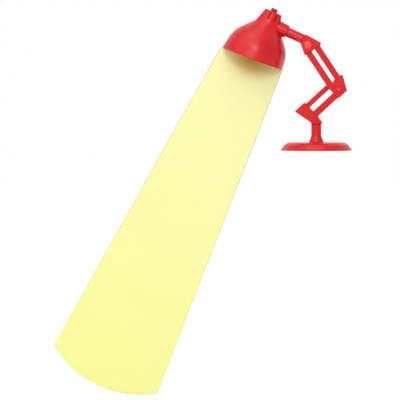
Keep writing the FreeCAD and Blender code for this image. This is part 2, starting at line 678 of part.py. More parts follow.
def beam_film():
    """One sheet: a tab between the shade's halves, then the long beam with its curved end."""
    left = RIM_R + FILM_PAST_RIM_LEFT
    right = RIM_R + FILM_PAST_RIM_RIGHT
    rim_left = point(-left, -left * tan(radians(RIM_SKEW)))
    rim_right = point(right, right * tan(radians(RIM_SKEW)))
    end_left = point(-FILM_END_LEFT, -FILM_DROP)
    end_right = point(FILM_END_RIGHT, -FILM_DROP)
    end_middle = (end_left + end_right) * 0.5 - point(0, FILM_END_BULGE)
    outline = [
        Part.LineSegment(rim_left, rim_right).toShape(),
        Part.LineSegment(rim_right, end_right).toShape(),
        Part.Arc(end_right, end_middle, end_left).toShape(),
        Part.LineSegment(end_left, rim_left).toShape(),
    ]
    face = Part.Face(Part.Wire(outline))
    face.translate(Y_AXIS * (-FILM_T / 2))
    beam = face.extrude(Y_AXIS * FILM_T)
    corners = [
        e
        for e in beam.Edges
        if e.BoundBox.YLength > FILM_T / 2 and e.BoundBox.ZMax < -FILM_DROP / 2
    ]
    beam = beam.makeFillet(FILM_CORNER_R, corners)
    return place_shade(beam.fuse(film_tab(FILM_EDGE_INSET)).removeSplitter())


def link_pins():
    """Short pins in the head link, flush with the bars' forks."""
    centres = (HEAD_PARALLEL, HEAD_MAIN)
    return Part.makeCompound([pin(c, PIN_R, -BAR_HALF_DEPTH, BAR_HALF_DEPTH) for c in centres])


nodes = {
    "base_shell": base_shell(),
    "base_cover": base_cover(),
    "post": post(),
    "post_clip": post_clip(),
    "lower_cheek_front": mirrored(lower_cheek()),
    "lower_cheek_rear": lower_cheek(),
    "lower_pins": seated_pins((POST_PIN, FOOT_PARALLEL, FOOT_MAIN)),
    "lower_main_bar": lower_main_bar(),
    "lower_parallel_bar": lower_parallel_bar(),
    "elbow_cheek_front": mirrored(elbow_cheek()),
    "elbow_cheek_rear": elbow_cheek(),
    "elbow_pins": seated_pins((ELBOW_SHARED, ELBOW_LOWER_MAIN, ELBOW_UPPER_MAIN)),
    "elbow_stud": elbow_stud(),
    "upper_main_bar": upper_main_bar(),
    "upper_parallel_bar": upper_parallel_bar(),
    "head_link": head_link(),
    "head_link_pins": link_pins(),
    "head_cheek_front": mirrored(head_cheek()),
    "head_cheek_rear": head_cheek(),
    "head_bolt": head_bolt(),
    "neck_rod": neck_rod(),
    "neck_rod_pin": seated_pins((NECK_PIN,)),
    "shade_front": shade_half(-1),
    "shade_rear": shade_half(1),
    "finial": finial(),
    "beam_film": beam_film(),
}

os.makedirs("parts", exist_ok=True)
for name, shape in nodes.items():
    shape.exportStep(os.path.join("parts", name + ".step"))
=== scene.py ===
import math

import bmesh
import bpy
from mathutils import Matrix, Vector


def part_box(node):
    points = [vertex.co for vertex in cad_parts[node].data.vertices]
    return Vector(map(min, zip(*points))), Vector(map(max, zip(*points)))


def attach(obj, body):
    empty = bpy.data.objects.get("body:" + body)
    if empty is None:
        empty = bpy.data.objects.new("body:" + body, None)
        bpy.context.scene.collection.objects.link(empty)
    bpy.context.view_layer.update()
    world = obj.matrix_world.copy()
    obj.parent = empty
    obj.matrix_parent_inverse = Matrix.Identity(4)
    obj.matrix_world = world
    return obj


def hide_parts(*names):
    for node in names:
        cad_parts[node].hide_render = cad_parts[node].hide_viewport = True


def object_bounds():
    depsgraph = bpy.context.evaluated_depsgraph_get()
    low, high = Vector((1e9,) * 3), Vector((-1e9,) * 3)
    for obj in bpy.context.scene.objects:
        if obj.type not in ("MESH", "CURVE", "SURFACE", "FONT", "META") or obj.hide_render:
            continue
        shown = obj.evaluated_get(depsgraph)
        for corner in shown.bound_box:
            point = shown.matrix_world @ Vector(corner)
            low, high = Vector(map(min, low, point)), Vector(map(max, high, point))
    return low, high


# The lamp-shaped page marker. Metres, in the part's frame: Z up the post, X to the right and the
# back at +Y.
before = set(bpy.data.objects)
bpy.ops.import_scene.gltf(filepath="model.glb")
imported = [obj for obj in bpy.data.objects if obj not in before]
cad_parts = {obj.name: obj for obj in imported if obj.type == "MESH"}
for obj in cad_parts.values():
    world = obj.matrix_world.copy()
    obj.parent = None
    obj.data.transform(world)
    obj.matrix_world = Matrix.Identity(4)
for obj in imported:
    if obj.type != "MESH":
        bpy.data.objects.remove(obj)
solid_low, solid_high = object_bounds()

# Base: a round foot moulded in satin red plastic, with a sloping side and a flat top in which the
# post turns. It is hollow below, and a flat cover is pressed in to close it. The red of every
# moulded piece is set here.
MM = 0.001
RED = (0.65, 0.007, 0.011)
RED_DEEP = (0.59, 0.005, 0.009)
PLASTIC_ROUGHNESS = 0.3
PLASTIC_SPECULAR = 0.32
GLOSSIER = 0.03
DULLER = 0.05
FLOW_SIZE = 11 * MM
FLOW_DETAIL = 3.0
FLOW_LOW = 0.3
FLOW_HIGH = 0.6
PEEL_SIZE = 1.3 * MM
PEEL_DETAIL = 1.0
PEEL_STRENGTH = 0.25
PEEL_DEPTH = 0.02 * MM
GRAIN_SIZE = 0.3 * MM
GRAIN_DETAIL = 2.0
GRAIN_STRENGTH = 0.15
GRAIN_DEPTH = 0.01 * MM
SHARP_ANGLE = math.radians(32)
WELD = 0.001 * MM
ROUND_STEPS = 5

BASE_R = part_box("base_shell")[1].x
BASE_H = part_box("base_shell")[1].z
BASE_FOOT_ROUND = 0.12 * MM
BASE_EDGE_H = 0.4 * MM
BASE_EDGE_ROUND = 0.25 * MM
BASE_SHOULDER_R = 15.9 * MM
BASE_SHOULDER_H = 2.8 * MM
BASE_SHOULDER_ROUND = 1.6 * MM
BASE_TOP_R = 14.2 * MM
BASE_TOP_ROUND = 1.2 * MM
BASE_SKIN = 1.4 * MM
BASE_CAVITY_R = 14.4 * MM
BASE_CAVITY_ROUND = 0.3 * MM
BASE_SEGMENTS = 160
SPIGOT_HOLE_R = 1.66 * MM
SPIGOT_HOLE_ROUND = 0.1 * MM
COVER_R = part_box("base_cover")[1].x
COVER_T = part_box("base_cover")[1].z
COVER_GAP = 0.03 * MM
COVER_FOOT_ROUND = 0.12 * MM
COVER_TOP_ROUND = 0.1 * MM
COVER_SEGMENTS = 128


def add(tree, kind, feeds=None, **options):
    """Add a node, set its options, and link or write what feeds its sockets, by name or number."""
    node = tree.nodes.new(kind)
    for option, value in options.items():
        setattr(node, option, value)
    for name, source in (feeds or {}).items():
        if isinstance(source, bpy.types.NodeSocket):
            tree.links.new(source, node.inputs[name])
        else:
            node.inputs[name].default_value = source
    return node


def maths(tree, operation, first, second=0.0):
    """Result of a Math node."""
    return add(tree, "ShaderNodeMath", {0: first, 1: second}, operation=operation).outputs[0]


def ranged(tree, value, start, end, low=0.0, high=1.0, **options):
    """A value whose run from start to end becomes one from low to high."""
    feeds = {"Value": value, "From Min": start, "From Max": end, "To Min": low, "To Max": high}
    return add(tree, "ShaderNodeMapRange", feeds, **options).outputs["Result"]


def vector_of(tree, **parts):
    """Vector of these X, Y and Z parts, each nought where it isn't given."""
    return add(tree, "ShaderNodeCombineXYZ", parts).outputs["Vector"]


def noise(tree, place, size, detail):
    """Soft random pattern whose features are about this size."""
    feeds = {"Vector": place, "Scale": 1 / size, "Detail": detail}
    return add(tree, "ShaderNodeTexNoise", feeds).outputs["Fac"]


def mixed(tree, share, first, second, blend="MIX"):
    """Colour that goes from the first to the second with the share."""
    feeds = {0: share, 6: first, 7: second}
    return add(tree, "ShaderNodeMix", feeds, data_type="RGBA", blend_type=blend).outputs[2]


def bumped(tree, height, strength, depth, under=None):
    """Normal of a surface with this relief, on top of the one under it."""
    feeds = {"Height": height, "Strength": strength, "Distance": depth}
    if under is not None:
        feeds["Normal"] = under
    return add(tree, "ShaderNodeBump", feeds).outputs["Normal"]


def new_material(name):
    """Material, with its nodes and its shader."""
    material = bpy.data.materials.new(name)
    material.use_nodes = True
    return material, material.node_tree, material.node_tree.nodes["Principled BSDF"]


def moulded_plastic(name, colour, deep_colour, roughness):
    """Satin moulded plastic: slow colour drift, uneven gloss, a faint orange peel, a fine grain."""
    material, tree, shader = new_material(name)
    shader.inputs["Specular IOR Level"].default_value = PLASTIC_SPECULAR
    place = add(tree, "ShaderNodeTexCoord").outputs["Object"]

    flow = noise(tree, place, FLOW_SIZE, FLOW_DETAIL)
    drift = ranged(tree, flow, FLOW_LOW, FLOW_HIGH)
    tint = mixed(tree, drift, (*deep_colour, 1), (*colour, 1))
    tree.links.new(tint, shader.inputs["Base Color"])
    gloss = ranged(tree, flow, 0.0, 1.0, roughness - GLOSSIER, roughness + DULLER)
    tree.links.new(gloss, shader.inputs["Roughness"])

    peel = noise(tree, place, PEEL_SIZE, PEEL_DETAIL)
    grain = noise(tree, place, GRAIN_SIZE, GRAIN_DETAIL)
    peeled = bumped(tree, peel, PEEL_STRENGTH, PEEL_DEPTH)
    grained = bumped(tree, grain, GRAIN_STRENGTH, GRAIN_DEPTH, under=peeled)
    tree.links.new(grained, shader.inputs["Normal"])
    return material


def new_tree(name, sizes):
    """Geometry Nodes tree with a geometry in and out, and a named input for each size."""
    tree = bpy.data.node_groups.new(name, "GeometryNodeTree")
    tree.interface.new_socket("Geometry", in_out="INPUT", socket_type="NodeSocketGeometry")
    tree.interface.new_socket("Geometry", in_out="OUTPUT", socket_type="NodeSocketGeometry")
    for label, kind in sizes:
        tree.interface.new_socket(label, in_out="INPUT", socket_type="NodeSocket" + kind)
    given = tree.nodes.new("NodeGroupInput")
    return tree, given.outputs


def finish_tree(tree, geometry, material):
    """End a tree in real geometry of one material."""
    real = add(tree, "GeometryNodeRealizeInstances", {"Geometry": geometry}).outputs["Geometry"]
    dressed = add(tree, "GeometryNodeSetMaterial", {"Geometry": real, "Material": material})
    out = tree.nodes.new("NodeGroupOutput")
    tree.links.new(dressed.outputs["Geometry"], out.inputs["Geometry"])


def point_value(tree, name):
    """The number that each point of a mesh or curve carries under this name."""
    named = add(tree, "GeometryNodeInputNamedAttribute", {"Name": name}, data_type="FLOAT")
    return named.outputs["Attribute"]


def rounded(tree, curve, steps, radius):
    """Curve with its corners rounded, each in this many steps."""
    feeds = {"Curve": curve, "Count": steps, "Radius": radius, "Limit Radius": True}
    return add(tree, "GeometryNodeFilletCurve", feeds, mode="POLY").outputs["Curve"]


def turning_tree():
    """Turns a wire outline of radius and height about Z, with each of its corners rounded."""
    labels = [("Segments", "Int"), ("Round Steps", "Int"), ("Closed", "Int")]
    tree, given = new_tree("turned", labels + [("Material", "Material")])
    wire = add(tree, "GeometryNodeMeshToCurve", {"Mesh": given["Geometry"]}).outputs["Curve"]
    outline = rounded(tree, wire, given["Round Steps"], point_value(tree, "corner"))
    size = add(tree, "GeometryNodeAttributeDomainSize", {"Geometry": outline}, component="CURVE")
    count = size.outputs["Point Count"]
    rows = maths(tree, "ADD", count, given["Closed"])
    columns = maths(tree, "ADD", given["Segments"], 1.0)
    grid = add(tree, "GeometryNodeMeshGrid", {"Vertices X": columns, "Vertices Y": rows})

    index = add(tree, "GeometryNodeInputIndex").outputs["Index"]
    column = maths(tree, "FLOOR", maths(tree, "DIVIDE", index, rows))
    row = maths(tree, "MODULO", maths(tree, "MODULO", index, rows), count)
    position = add(tree, "GeometryNodeInputPosition").outputs["Position"]
    mark = add(
        tree,
        "GeometryNodeSampleIndex",
        {"Geometry": outline, "Value": position, "Index": row},
        data_type="FLOAT_VECTOR",
        domain="POINT",
    )
    parts = add(tree, "ShaderNodeSeparateXYZ", {"Vector": mark.outputs["Value"]}).outputs
    turn = maths(tree, "MULTIPLY", maths(tree, "DIVIDE", column, given["Segments"]), math.tau)
    place = vector_of(
        tree,
        X=maths(tree, "MULTIPLY", parts["X"], maths(tree, "COSINE", turn)),
        Y=maths(tree, "MULTIPLY", parts["X"], maths(tree, "SINE", turn)),
        Z=parts["Z"],
    )
    feeds = {"Geometry": grid.outputs["Mesh"], "Position": place}
    lathe = add(tree, "GeometryNodeSetPosition", feeds).outputs["Geometry"]
    merged = add(tree, "GeometryNodeMergeByDistance", {"Geometry": lathe, "Distance": WELD})
    finish_tree(tree, merged.outputs["Geometry"], given["Material"])
    return tree


def new_object(name, data):
    """Object at the origin that holds this mesh, light or camera."""
    made = bpy.data.objects.new(name, data)
    bpy.context.scene.collection.objects.link(made)
    return made


def wire_outline(name, outlines, material, closed=False):
    """Piece of bare edges through each outline of (radius, height, corner round)."""
    points, edges, corners, numbers = [], [], [], []
    for number, outline in enumerate(outlines):
        first = len(points)
        points += [(radius, 0, height) for radius, height, corner in outline]
        corners += [corner for radius, height, corner in outline]
        numbers += [number] * len(outline)
        edges += [(i, i + 1) for i in range(first, len(points) - 1)]
        if closed:
            edges.append((len(points) - 1, first))
    mesh = bpy.data.meshes.new(name)
    mesh.materials.append(material)
    mesh.from_pydata(points, edges, [])
    mesh.attributes.new("corner", "FLOAT", "POINT").data.foreach_set("value", corners)
    mesh.attributes.new("outline", "FLOAT", "POINT").data.foreach_set("value", numbers)
    return new_object(name, mesh)


def shaped_by(piece, tree, sizes):
    """Run a tree on a piece with these sizes, and keep the result as the piece's plain mesh."""
    modifier = piece.modifiers.new(tree.name, "NODES")
    modifier.node_group = tree
    inputs = [item for item in tree.interface.items_tree if item.in_out == "INPUT"]
    sockets = {item.name: item.identifier for item in inputs}
    for label, value in sizes.items():
        modifier[sockets[label]] = value
    made_plain(piece)


def made_plain(piece):
    """Bake a piece's modifiers into its mesh."""
    bpy.context.view_layer.update()
    ready = piece.evaluated_get(bpy.context.evaluated_depsgraph_get())
    mesh = bpy.data.meshes.new_from_object(ready)
    piece.modifiers.clear()
    piece.data = mesh


def closed_up(piece, material):
    """Merge a shell's doubled points, turn its faces outwards and leave it one material slot."""
    piece.data.materials.clear()
    piece.data.materials.append(material)
    piece.data.polygons.foreach_set("material_index", [0] * len(piece.data.polygons))
    build = bmesh.new()
    build.from_mesh(piece.data)
    bmesh.ops.remove_doubles(build, verts=build.verts, dist=WELD)
    bmesh.ops.recalc_face_normals(build, faces=build.faces)
    build.to_mesh(piece.data)
    build.free()


def fitted(piece, body, *nodes):
    """Shade a mesh's curves smoothly and its flats evenly, and let it stand for these solids."""
    piece.data.shade_smooth()
    piece.data.set_sharp_from_angle(angle=SHARP_ANGLE)
    even = piece.modifiers.new("even_flats", "WEIGHTED_NORMAL")
    even.mode = "FACE_AREA"
    even.keep_sharp = True
    made_plain(piece)
    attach(piece, body)
    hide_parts(*nodes)


TURNED = turning_tree()


def turned_shell(node, outline, place, material, segments, closed=False):
    """Round shell: an outline turned about its own Z, then put in its place."""
    piece = wire_outline(node + "_turned", [outline], material, closed)
    sizes = {"Segments": segments, "Round Steps": ROUND_STEPS, "Closed": int(closed)}
    shaped_by(piece, TURNED, {**sizes, "Material": material})
    closed_up(piece, material)
    piece.data.transform(place)
    return piece


def turned(node, outline, place, body, material, segments, closed=False):
    """Round piece that stands for its solid."""
    piece = turned_shell(node, outline, place, material, segments, closed)
    fitted(piece, body, node)
    return piece


red_plastic = moulded_plastic("satin_red", RED, RED_DEEP, PLASTIC_ROUGHNESS)
base_outline = [
    (COVER_R + COVER_GAP, 0, 0),
    (BASE_R, 0, BASE_FOOT_ROUND),
    (BASE_R, BASE_EDGE_H, BASE_EDGE_ROUND),
    (BASE_SHOULDER_R, BASE_SHOULDER_H, BASE_SHOULDER_ROUND),
    (BASE_TOP_R, BASE_H, BASE_TOP_ROUND),
    (SPIGOT_HOLE_R, BASE_H, SPIGOT_HOLE_ROUND),
    (SPIGOT_HOLE_R, BASE_H - BASE_SKIN, 0),
    (BASE_CAVITY_R, BASE_H - BASE_SKIN, BASE_CAVITY_ROUND),
    (BASE_CAVITY_R, COVER_T, 0),
    (COVER_R + COVER_GAP, COVER_T, 0),
]
upright = Matrix.Identity(4)
turned("base_shell", base_outline, upright, "base", red_plastic, BASE_SEGMENTS, closed=True)
cover_outline = [
    (0, 0, 0),
    (COVER_R, 0, COVER_FOOT_ROUND),
    (COVER_R, COVER_T, COVER_TOP_ROUND),
    (0, COVER_T, 0),
]
turned("base_cover", cover_outline, upright, "base", red_plastic, COVER_SEGMENTS)

# Post: a round red column with a flared foot, moulded in one with its spigot and the flat head
# between the cheeks. A push-on ring holds it in the base, and it turns there.
MOULDED_EDGE = 0.16 * MM
MOULDED_EDGE_STEPS = 2
FLAT_ANGLE = math.radians(0.5)


def merged_copy(node, material):
    """A solid's mesh as a piece of its own, with its doubled points and flat facets merged."""
    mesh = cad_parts[node].data.copy()
    mesh.name = node + "_moulded"
    mesh.materials.clear()
    mesh.materials.append(material)
    build = bmesh.new()
    build.from_mesh(mesh)
    bmesh.ops.remove_doubles(build, verts=build.verts, dist=WELD)
    bmesh.ops.dissolve_limit(build, angle_limit=FLAT_ANGLE, verts=build.verts, edges=build.edges)
    build.to_mesh(mesh)
    build.free()
    return new_object(mesh.name, mesh)


def finished(node, body, material, edge=MOULDED_EDGE, steps=MOULDED_EDGE_STEPS):
    """Moulded piece from its solid: facets merged, edges softly rounded, curves smooth."""
    piece = merged_copy(node, material)
    if edge > 0:
        bevel = piece.modifiers.new("edge", "BEVEL")
        bevel.width = edge
        bevel.segments = steps
        bevel.limit_method = "ANGLE"
        bevel.angle_limit = SHARP_ANGLE
        bevel.use_clamp_overlap = True
        made_plain(piece)
    fitted(piece, body, node)


finished("post", "post", red_plastic)
finished("post_clip", "post", red_plastic, edge=0)

# Lower bracket: two kite-shaped cheeks of red plastic, pressed together over the post's head on
# three hidden pins. Their outer edges are softened, and they carry the feet of the lower bars.
finished("lower_cheek_front", "post", red_plastic)
finished("lower_cheek_rear", "post", red_plastic)
finished("lower_pins", "post", red_plastic, edge=0)

# Lower arm: a wide bar and a slimmer one of red plastic, side by side, each moulded with well
# rounded edges and round eyes. The slim bar ends in a thin tongue at the elbow.
BAR_EDGE = 0.27 * MM
BAR_EDGE_STEPS = 3

finished("lower_main_bar", "lower_main", red_plastic, BAR_EDGE, BAR_EDGE_STEPS)
finished("lower_parallel_bar", "lower_parallel", red_plastic, BAR_EDGE, BAR_EDGE_STEPS)

# Elbow: two red cheeks held apart by a shouldered stud, which is headed over on each side as a
# dished boss. Three hidden pins carry the ends of the four bars.
QUARTER_TURN = math.radians(90)
STUD_R = 0.7 * MM
STUD_SHOULDER_R = 1.0 * MM
CHEEK_IN = 1.6 * MM
CHEEK_OUT = 2.5 * MM
BOSS_R = 2.1 * MM
BOSS_H = 0.5 * MM
BOSS_EDGE = 0.2 * MM
BOSS_SIDE_ROUND = 0.1 * MM
BOSS_TOP_ROUND = 0.12 * MM
DISH_R = 1.6 * MM
DISH_DEPTH = 0.4 * MM
CAP_STEPS = 8
BUTTON_SEGMENTS = 64


def cap_points(radius, rise, start):
    """Points of a shallow ball cap, from its rim to its pole. A negative rise makes a dish."""
    ball_r = (radius ** 2 + rise ** 2) / (2 * abs(rise))
    reach = math.asin(radius / ball_r)
    sign = math.copysign(1, rise)
    points = []
    for i in range(CAP_STEPS + 1):
        angle = reach * (1 - i / CAP_STEPS)
        height = start + sign * ball_r * (math.cos(angle) - math.cos(reach))
        points.append((ball_r * math.sin(angle), height, 0))
    return points


def both_ends(side):
    """Whole outline of a piece that is alike on both sides of the lamp's plane."""
    return [(radius, -height, corner) for radius, height, corner in reversed(side)] + side


def middle_of(node):
    """Middle of a solid's box."""
    low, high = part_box(node)
    return (low + high) / 2


def along_hinge(node):
    """Placement of a turned piece whose axis is a hinge's, in the middle of its solid."""
    return Matrix.Translation(middle_of(node)) @ Matrix.Rotation(QUARTER_TURN, 4, "X")


finished("elbow_cheek_front", "elbow", red_plastic)
finished("elbow_cheek_rear", "elbow", red_plastic)
finished("elbow_pins", "elbow", red_plastic, edge=0)
stud_side = [
    (STUD_SHOULDER_R, CHEEK_IN, 0),
    (STUD_R, CHEEK_IN, 0),
    (STUD_R, CHEEK_OUT, 0),
    (BOSS_R, CHEEK_OUT, 0),
    (BOSS_R, CHEEK_OUT + BOSS_H - BOSS_EDGE, BOSS_SIDE_ROUND),
    (BOSS_R - BOSS_EDGE, CHEEK_OUT + BOSS_H, BOSS_TOP_ROUND),
] + cap_points(DISH_R, -DISH_DEPTH, CHEEK_OUT + BOSS_H)
stud_place = along_hinge("elbow_stud")
turned("elbow_stud", both_ends(stud_side), stud_place, "elbow", red_plastic, BUTTON_SEGMENTS)

# Upper arm: two equal bars of red plastic with well rounded edges. Both are forked at the head,
# and the left one also at the elbow.
finished("upper_main_bar", "upper_main", red_plastic, BAR_EDGE, BAR_EDGE_STEPS)
finished("upper_parallel_bar", "upper_parallel", red_plastic, BAR_EDGE, BAR_EDGE_STEPS)

# Head link: a thin red plate in the bars' forks, which keeps its attitude as the arm moves. Its
# two pins carry the bars, and the head's pivot bolt passes through it.
finished("head_link", "head_link", red_plastic, edge=0)
finished("head_link_pins", "head_link", red_plastic, edge=0)

# Head bracket: two red cheeks over the head link and the tongue of the neck rod, which a pin
# holds. The head tilts on a bolt with a polished dome at each end. The domes' lighter red is a
# painted highlight.
# The bolt's lighter red is a painted highlight on its domes.
BOLT_HIGHLIGHT_RED = (0.84, 0.075, 0.070)
BOLT_HIGHLIGHT_RED_DEEP = (0.80, 0.055, 0.052)
BOLT_ROUGHNESS = 0.24
BOLT_R = 0.6 * MM
DOME_R = 2.0 * MM
DOME_H = 1.0 * MM

finished("head_cheek_front", "head", red_plastic)
finished("head_cheek_rear", "head", red_plastic)
finished("neck_rod_pin", "head", red_plastic, edge=0)
bolt_highlight_plastic = moulded_plastic("polished_red_painted_highlight", BOLT_HIGHLIGHT_RED, BOLT_HIGHLIGHT_RED_DEEP, BOLT_ROUGHNESS)
bolt_side = [(BOLT_R, CHEEK_OUT, 0)] + cap_points(DOME_R, DOME_H, CHEEK_OUT)
bolt_place = along_hinge("head_bolt")
head_bolt = turned(
    "head_bolt", both_ends(bolt_side), bolt_place, "head", bolt_highlight_plastic, BUTTON_SEGMENTS
)

# Neck rod: a round rod of red plastic pressed into the collar of the shade, with a flat tongue at
# its other end. It leans with the shade, whose frame is measured from the head's bolt.
SHADE_LEAN = math.radians(24.4)
ROD_ABOVE_PIVOT = 1.75 * MM
ROD_SETBACK = 3.53 * MM
ROD_R = 2.42 * MM
ROD_SHOWN = 8.65 * MM
ROD_SEAT_L = 4.4 * MM
ROD_ROUND = 0.25 * MM
ROD_SEGMENTS = 96
TONGUE_TRIM = 0.01 * MM
TONGUE_OVERLAP = 0.05 * MM
COLLAR_HEIGHT = 19.2 * MM
COLLAR_REACH = 10.35 * MM

SHADE_UP = Vector((math.sin(SHADE_LEAN), 0, math.cos(SHADE_LEAN)))
ROD_OUT = Vector((math.cos(SHADE_LEAN), 0, -math.sin(SHADE_LEAN)))
ROD_SHOULDER = middle_of("head_bolt") + SHADE_UP * ROD_ABOVE_PIVOT - ROD_OUT * ROD_SETBACK
RIM_CENTRE = ROD_SHOULDER - SHADE_UP * COLLAR_HEIGHT - ROD_OUT * (ROD_SHOWN + COLLAR_REACH)
shade_place = Matrix.Translation(RIM_CENTRE) @ Matrix.Rotation(SHADE_LEAN, 4, "Y")


def cut_off(piece, start, along, trim, overlap):
    """Keep a mesh from just past the start, close the cut, and move that face back a little."""
    build = bmesh.new()
    build.from_mesh(piece.data)
    cut = bmesh.ops.bisect_plane(
        build,
        geom=build.verts[:] + build.edges[:] + build.faces[:],
        plane_co=start + along * trim,
        plane_no=along,
        clear_inner=True,
    )["geom_cut"]
    cut_edges = [part for part in cut if isinstance(part, bmesh.types.BMEdge)]
    bmesh.ops.holes_fill(build, edges=cut_edges)
    for part in cut:
        if isinstance(part, bmesh.types.BMVert):
            part.co -= along * overlap
    build.to_mesh(piece.data)
    build.free()


def join_up(first, second):
    """Move the second piece's mesh into the first, and drop the second."""
    build = bmesh.new()
    build.from_mesh(first.data)
    build.from_mesh(second.data)
    build.to_mesh(first.data)
    build.free()
    bpy.data.objects.remove(second)


rod_outline = [
    (0, 0, 0),
    (ROD_R, 0, ROD_ROUND),
    (ROD_R, ROD_SEAT_L + ROD_SHOWN, ROD_ROUND),
    (0, ROD_SEAT_L + ROD_SHOWN, 0),
]
rod_start = Matrix.Translation((COLLAR_REACH - ROD_SEAT_L, 0, COLLAR_HEIGHT))
rod_place = shade_place @ (rod_start @ Matrix.Rotation(QUARTER_TURN, 4, "Y"))
neck_rod = turned_shell("neck_rod", rod_outline, rod_place, red_plastic, ROD_SEGMENTS)
tongue = merged_copy("neck_rod", red_plastic)
cut_off(tongue, ROD_SHOULDER, ROD_OUT, TONGUE_TRIM, TONGUE_OVERLAP)
join_up(neck_rod, tongue)
fitted(neck_rod, "head", "neck_rod")

# Shade: a bell moulded in red plastic as a front and a rear half, glued in the middle plane, where
# the halves grip the film. Three narrow vents with raised lips pierce each half of the crown, and
# a tapered collar takes the neck rod.
RIM_SKEW = math.radians(3.6)
RIM_R = 15.95 * MM
RIM_ROUND = 0.35 * MM
SHOULDER_R = 14.7 * MM
SHOULDER_H = 9.2 * MM
SHOULDER_ROUND = 15.48 * MM
NECK_R = 6.6 * MM
NECK_H = 18.2 * MM
NECK_ROUND = 5 * MM
CROWN_R = 4.35 * MM
CROWN_H = 25.5 * MM
CROWN_ROUND = 0.4 * MM
STEM_HOLE_R = 0.82 * MM
STEM_L = 3.6 * MM
BELL_SEGMENTS = 160
BELL_ROUND_STEPS = 8

WALL = 1.2 * MM
WALL_LEVEL = WALL * 1.13  # measured level, through the sloping shoulder and crown
SHOULDER_WALL_DROP = WALL * 0.35
NECK_WALL_DROP = WALL * 0.6
HOLLOW_TOP = 20.5 * MM
HOLLOW_ROUND = 0.5 * MM
HOLLOW_PAST = 3 * MM

COLLAR_ROOT_R = 4.0 * MM
COLLAR_TIP_R = 3.2 * MM
COLLAR_ROUND = 0.45 * MM
BORE_GAP = 0.02 * MM
BORE_R = ROD_R + BORE_GAP
BORE_PAST = 1 * MM

VENT_COUNT = 3
VENT_FIRST = math.radians(-7)
VENT_PITCH = math.radians(34.5)
VENT_W = 0.8 * MM
VENT_LOW = 21.2 * MM
VENT_HIGH = 25.0 * MM
VENT_DEPTH = 0.9 * MM
VENT_ROUND_SHARE = 0.48
VENT_CUTTER_PROUD = 1 * MM
LIP_R = 0.22 * MM
LIP_SIDES = 10

PARTING_GAP = 0.02 * MM
KEEP_SIZE = 80 * MM
NUMBER_TOLERANCE = 0.1

RIM_SLOPE = (SHOULDER_R - RIM_R) / SHOULDER_H
CROWN_SLOPE = (CROWN_R - NECK_R) / (CROWN_H - NECK_H)
VENT_MIDDLE = (VENT_LOW + VENT_HIGH) / 2


